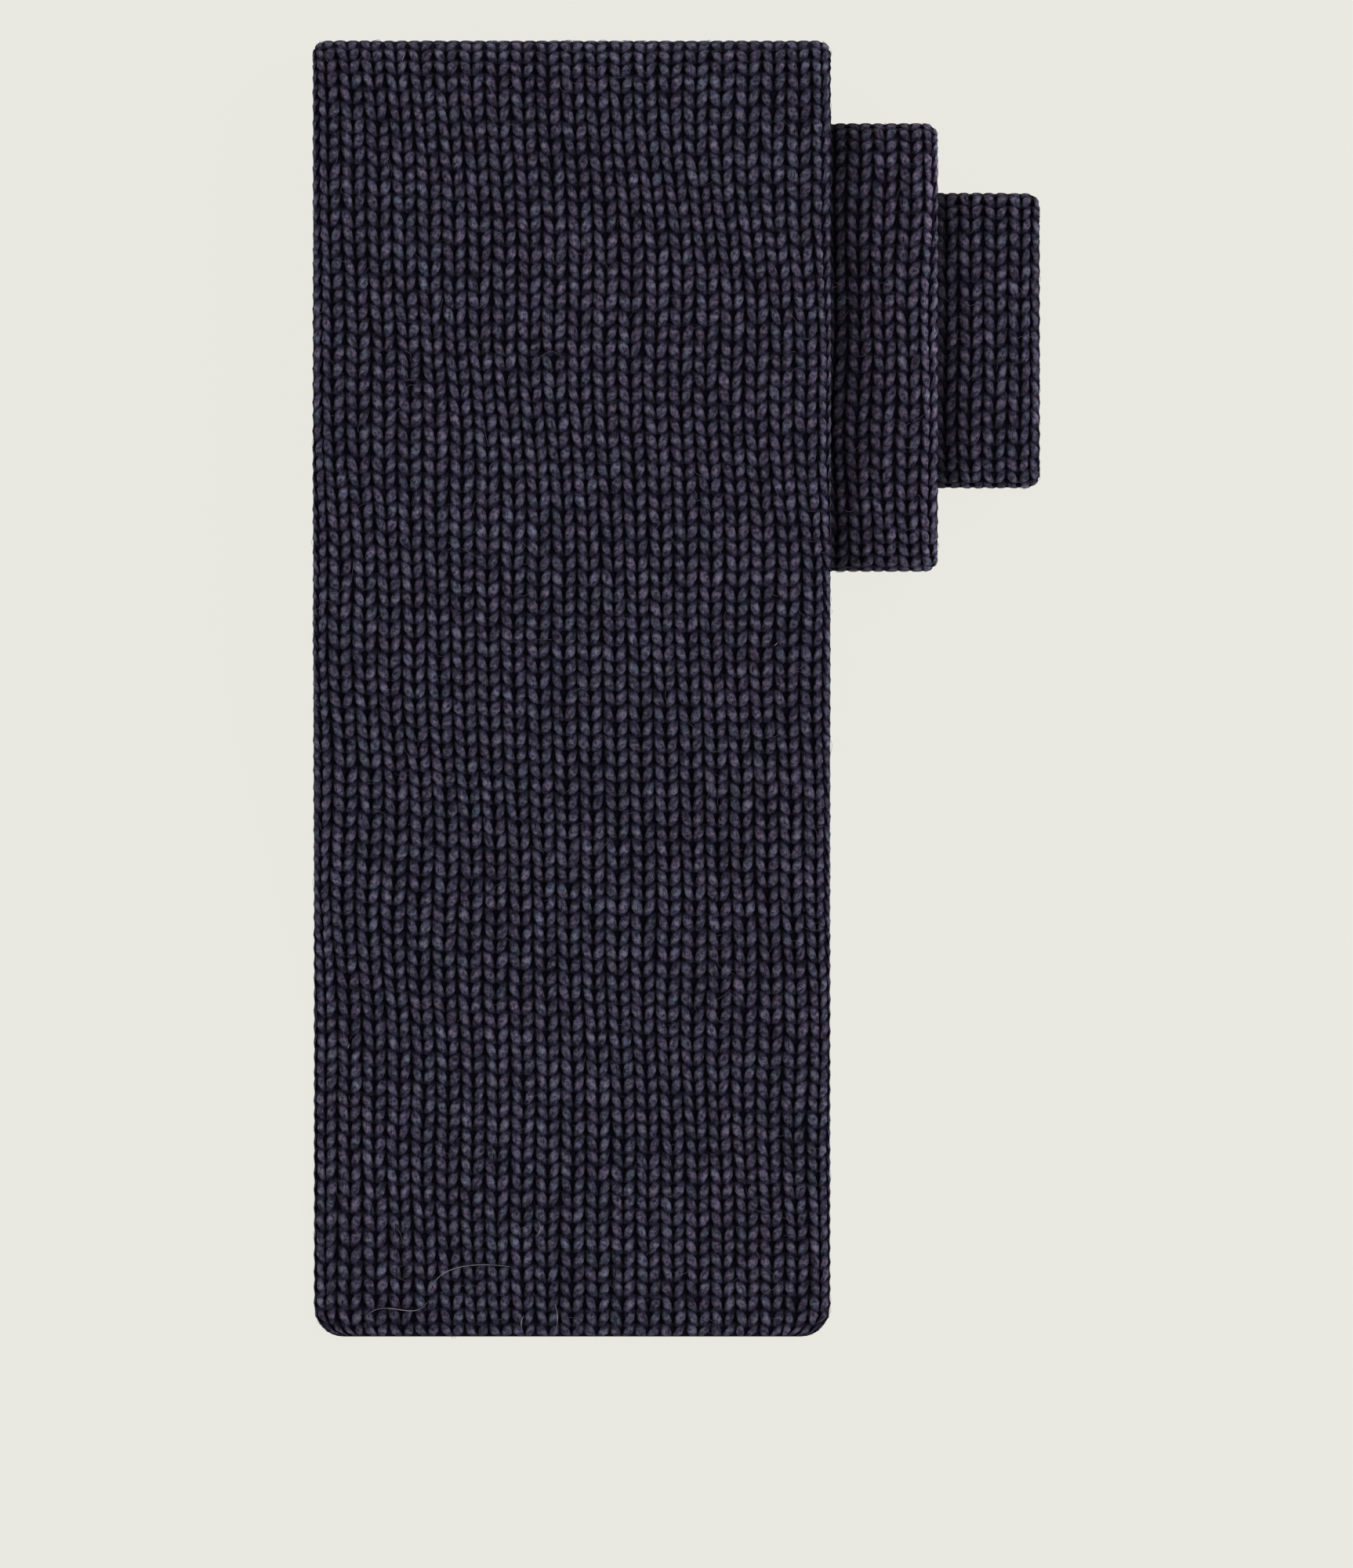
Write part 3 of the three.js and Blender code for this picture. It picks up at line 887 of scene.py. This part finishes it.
def fuzz_group():
    tree, given, results = new_group(
        "stray_fibres_on_cloth",
        "GeometryNodeTree",
        {"Cloth": "Geometry", **dict.fromkeys(fuzz_sizes, "Float"), "Seed": "Int", "Fibre": "Material"},
        {"Fuzz": "Geometry"},
    )
    tree.is_modifier = True

    def random(span, seed):
        return random_value(tree, *span, given["Seed"] + seed)

    inputs = {"Mesh": given["Cloth"], "Density": given["Density"], "Seed": given["Seed"]}
    roots = node(tree, "GeometryNodeDistributePointsOnFaces", distribute_method="RANDOM", inputs=inputs)
    half_length = given["Length"] * 0.5
    sunk = given["Rise"] * -FUZZ_SUNK
    inputs = {
        "Resolution": FUZZ_STEPS,
        "Start": vector_of(tree, half_length * -1, 0.0, sunk),
        "Middle": vector_of(tree, 0.0, half_length * FUZZ_BEND, given["Rise"]),
        "End": vector_of(tree, half_length, 0.0, sunk),
    }
    fibre = value_of(tree, "GeometryNodeCurveQuadraticBezier", inputs=inputs)
    turn = vector_of(tree, random((-FUZZ_TILT, FUZZ_TILT), 1), 0.0, random((0.0, 2 * math.pi), 2))
    inputs = {
        "Rotation": Value(tree, roots.outputs["Rotation"]),
        "Rotate By": value_of(tree, "FunctionNodeEulerToRotation", inputs={0: turn}),
    }
    spun = value_of(tree, "FunctionNodeRotateRotation", rotation_space="LOCAL", inputs=inputs)
    stretched = vector_of(tree, random(FUZZ_LENGTHS, 3), random(FUZZ_BENDS, 4), random(FUZZ_HEIGHTS, 5))
    inputs = {
        "Points": Value(tree, roots.outputs["Points"]),
        "Instance": fibre,
        "Rotation": spun,
        "Scale": stretched,
    }
    placed = value_of(tree, "GeometryNodeInstanceOnPoints", inputs=inputs)
    lines = value_of(tree, "GeometryNodeRealizeInstances", inputs={"Geometry": placed})
    inputs = {"Resolution": FUZZ_SIDES, "Radius": given["Width"] * 0.5}
    section = value_of(tree, "GeometryNodeCurvePrimitiveCircle", mode="RADIUS", inputs=inputs)
    inputs = {"Curve": lines, "Profile Curve": section, "Fill Caps": True}
    strands = value_of(tree, "GeometryNodeCurveToMesh", inputs=inputs)
    fill(results["Fuzz"], real_and_colored(tree, strands, given["Fibre"]))
    return tree


stray_fibres = fuzz_group()


def place_piece(piece, node_name):
    """Hides the CAD node that a piece stands for, and hangs the piece on the tie's one body."""
    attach(piece, "root")
    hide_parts(node_name)


def knit_tube(name, node_name, wales, courses, splits, place_of, seed, yarn):
    """Knits a stretch of the tube on its chart, in a few pieces, and adds its stray fibres."""
    all_courses = courses + 2 * EDGE_COURSES
    chart = chart_mesh(name + "_chart", wales, all_courses, place_of, seed)
    pieces = []
    bounds = [round(courses * part / splits) for part in range(splits + 1)]
    for part, (first, last) in enumerate(zip(bounds, bounds[1:]), start=1):
        values = {
            **knitting_sizes,
            "Wales": wales,
            "First Course": first,
            "Courses": last - first,
            "All Courses": float(all_courses),
            "Seed": seed,
            "Yarn": yarn,
        }
        pieces.append(made_on(chart, knitting, f"{name}_knit_{part}", values))
    values = {**fuzz_sizes, "Seed": seed + FUZZ_SEED_STEP, "Fibre": fuzz_wool}
    pieces.append(made_on(chart, stray_fibres, name + "_fuzz", values))
    bpy.data.objects.remove(chart)
    for piece in pieces:
        place_piece(piece, node_name)
    return pieces


# The blade has 43 wales round it, of which its front shows 21. They drift a little to the right towards
# the hem, and its courses sag to the right and get closer, as the knitting has been pulled in use.
BLADE_WALES = 43
FRONT_COURSES = 86.2
COURSES_PER_REACH, COURSES_CLOSING = 82.6, 3.56
COURSE_BOW, COURSE_SAG = 0.367, 0.963
WALE_DRIFT, WALE_DRIFT_EASING = 1.86, 0.80
EVENING_COURSES = 14
PATH_STEPS = 1600

# Where each length of path is, counted in blade reaches from the top fold's outermost line: as seen from
# above on the front, and along the outer side from the top fold on.
blade_lengths = np.linspace(0, blade_end, PATH_STEPS)
path_y, _, heading = path.at(blade_lengths)
seen_y = path_y - half_thickness * np.sin(heading)
outer_run = blade_lengths - half_thickness * heading
fold_start = np.searchsorted(blade_lengths, top_fold_start)
blade_places = np.where(
    np.arange(len(blade_lengths)) < fold_start,
    (blade_top - seen_y) / BLADE_REACH,
    (blade_top - seen_y[fold_start] - (outer_run - outer_run[fold_start])) / BLADE_REACH,
)
last_course = FRONT_COURSES - blade_places[-1] * COURSES_PER_REACH
blade_courses = int(last_course + HEM_OVERLAP - 2 * EDGE_COURSES)


def side_of(across):
    """From -1 at the tube's left edge to 1 at its right edge, on both its sides."""
    return np.select([across < 0.25, across < 0.75], [-across * 4, (across - 0.5) * 4], (1 - across) * 4)


def blade_place(wale, course):
    """Where a wale and a course of the blade lie. Courses count up from the hem's edge."""
    side = side_of(np.mod(wale / BLADE_WALES, 1.0))
    course = course - HEM_OVERLAP
    from_top = np.clip((FRONT_COURSES - course) / FRONT_COURSES, 0, 1)
    # A helix climbs one course in each round. The front's rows are level, and the hidden side climbs
    # instead.
    level = np.clip(course - side / 4, HEM_LIP, last_course)
    near_join = eased(level, last_course - EVENING_COURSES, last_course)
    steady = eased(level, 0, EVENING_COURSES) * (1 - near_join)
    counted = FRONT_COURSES - level - (COURSE_BOW * side**2 - COURSE_SAG * side * from_top) * steady
    # The count from the top is a quadratic in the distance from the top. This is its positive root.
    root = np.sqrt(COURSES_PER_REACH**2 + 4 * COURSES_CLOSING * np.clip(counted, 0, None))
    before_top = np.clip(counted, None, 0) / COURSES_PER_REACH
    distance = (root - COURSES_PER_REACH) / (2 * COURSES_CLOSING) + before_top
    length = np.interp(-distance, -blade_places, blade_lengths)
    drift = WALE_DRIFT * from_top - WALE_DRIFT_EASING * from_top**2
    return tube_surface((wale + drift) / BLADE_WALES, length, 0.0)


blade_knit = knit_tube(
    "blade",
    "front_blade",
    BLADE_WALES,
    blade_courses,
    splits=3,
    place_of=blade_place,
    seed=3,
    yarn=blade_wool,
)
place_piece(blade_core, "front_blade")

# The neck band is the tie's narrower middle, knitted the same way on fewer needles and linked to the
# blade. It is folded once round the inside of the roll. Its wool looks plummier than the blade's.
NECK_WALES = 36
NECK_COURSE = 1.82 * MM
NARROW_STEPS = 1200

neck_start, neck_end = blade_join + JOIN_GAP / 2, neck_join - JOIN_GAP / 2
neck_wool = wool(
    "neck_wool",
    plum_share=0.35,
    # Painted shade darkens the neck beside the blade's right edge.
    covered_to=blade_right,
    shade_reach=7.3 * MM,
    outer_edge=neck_right,
    # A painted highlight brightens the neck along its right edge.
    edge_highlight=1.55,
)


def narrow_tube(start, end, hem, offset):
    """How many courses fit on a stretch of the narrow tube, and where its wales and courses lie."""
    lengths = np.linspace(start, end, NARROW_STEPS)
    run = lengths - half_thickness * path.at(lengths)[2]
    run -= run[0]
    courses = int(run[-1] / NECK_COURSE - 2 * EDGE_COURSES)
    pitch = run[-1] / (courses + 2 * EDGE_COURSES)

    def place(wale, course):
        level = course - side_of(np.mod(wale / NECK_WALES, 1.0)) / 4
        length = np.interp(level * pitch, run, lengths)
        return tube_surface((wale + offset) / NECK_WALES, length, hem)

    return courses, place


neck_courses, neck_place = narrow_tube(neck_start, neck_end, None, 0.0)
neck_core = core_mesh("neck_inside", neck_start, neck_end, None)
neck_knit = knit_tube(
    "neck",
    "neck_band",
    NECK_WALES,
    neck_courses,
    splits=2,
    place_of=neck_place,
    seed=5,
    yarn=neck_wool,
)
place_piece(neck_core, "neck_band")

# The tail is the other end of the same narrow tube, with a hem of its own hidden in the middle of the
# roll. It is folded once more and lies furthest to the right.
TAIL_OFFSET = 0.4

tail_start = neck_join + JOIN_GAP / 2
tail_wool = wool(
    "tail_wool",
    plum_share=0.12,
    # Painted shade darkens the tail beside the neck's right edge.
    covered_to=neck_right,
    shade_reach=5.0 * MM,
    outer_edge=tail_right,
    # A painted highlight brightens the tail along its right edge.
    edge_highlight=1.15,
)
tail_courses, tail_place = narrow_tube(tail_start, tail_end, tail_end, TAIL_OFFSET)
tail_core = core_mesh("tail_inside", tail_start, tail_end, tail_end)
tail_knit = knit_tube(
    "tail",
    "tail_end",
    NECK_WALES,
    tail_courses,
    splits=1,
    place_of=tail_place,
    seed=7,
    yarn=tail_wool,
)
place_piece(tail_core, "tail_end")

# A few long pale fibres have come loose and lie on the blade near its hem, and small flecks of the same are
# caught in the knit. Each is a thin round strand that follows the cloth's top.
LOOSE_WIDTH, LOOSE_CLEARANCE = 0.075 * MM, 0.05 * MM
LOOSE_COLOR, LOOSE_DARK = (0.42, 0.41, 0.45, 1), (0.20, 0.19, 0.24, 1)
LOOSE_SPOTS = (600.0, 1.0, 0.3, 0.6)
LOOSE_SIDES, LOOSE_STEPS = 5, 8
THINNEST = 0.15
# The places that each fibre passes through, in mm to the right of the blade's left edge and above the hem.
loose_fibres = {
    "arched_fibre": [(14.0, 6.2), (15.6, 7.6), (18.6, 8.3), (22.8, 8.1)],
    "curled_fibre": [(6.2, 2.4), (8.6, 3.3), (11.2, 3.0), (13.2, 4.0)],
    "short_fibre": [(24.3, 0.5), (24.1, 1.5), (24.4, 2.4)],
    "upright_fibre": [(28.1, 0.6), (28.3, 2.2), (28.0, 3.8)],
    "bent_fibre": [(25.8, 11.6), (26.3, 12.4), (26.1, 13.3)],
    "low_fleck": [(4.0, 33.4), (4.2, 33.9)],
    "right_fleck": [(53.4, 80.0), (53.8, 80.4)],
    "high_fleck": [(10.4, 147.6), (10.7, 148.3)],
}

loose_wool, loose_tree, loose_shader = new_material("pale_fibre", {"Roughness": 0.6})
loose_spots = spots_of(loose_tree, object_place(loose_tree), *LOOSE_SPOTS)
fill(loose_shader.inputs["Base Color"], mix_color(loose_tree, loose_spots, LOOSE_DARK, LOOSE_COLOR))


def loose_fibre(name, places):
    """A thin closed strand along one smooth curve through the places, laid on the blade's top."""
    places = np.array(places) * MM
    degree = len(places) - 1
    knots = np.linspace(0, 1, len(places))
    share = np.linspace(0, 1, LOOSE_STEPS * degree + 1)
    x = np.polyval(np.polyfit(knots, places[:, 0], degree), share) + blade_right - BLADE_WIDTH
    y = np.polyval(np.polyfit(knots, places[:, 1], degree), share) + hem_end
    length = np.interp((y - blade_top) / BLADE_REACH, -blade_places, blade_lengths)
    _, below_z, lean = path.at(length)
    z = below_z + half_thickness * np.cos(lean) + LOOSE_CLEARANCE
    line = np.stack([x, y, z], -1)
    ahead = np.gradient(line, axis=0)
    ahead /= np.linalg.norm(ahead, axis=1)[:, None]
    sideways = np.cross(ahead, (0.0, 0.0, 1.0))
    sideways /= np.linalg.norm(sideways, axis=1)[:, None]
    above = np.cross(sideways, ahead)
    radius = LOOSE_WIDTH / 2 * np.sqrt(np.clip(np.sin(math.pi * share), THINNEST, 1))[:, None]
    turns = -2 * math.pi * np.arange(LOOSE_SIDES) / LOOSE_SIDES
    rings = [line + radius * (math.cos(turn) * sideways + math.sin(turn) * above) for turn in turns]
    points = np.stack(rings, 1).reshape(-1, 3)
    ends = [range(LOOSE_SIDES)[::-1], range(len(points) - LOOSE_SIDES, len(points))]
    made = mesh_object(name, points, tube_faces(len(line) - 1, LOOSE_SIDES) + ends, loose_wool)
    place_piece(made, "front_blade")


for name, places in loose_fibres.items():
    loose_fibre(name, places)
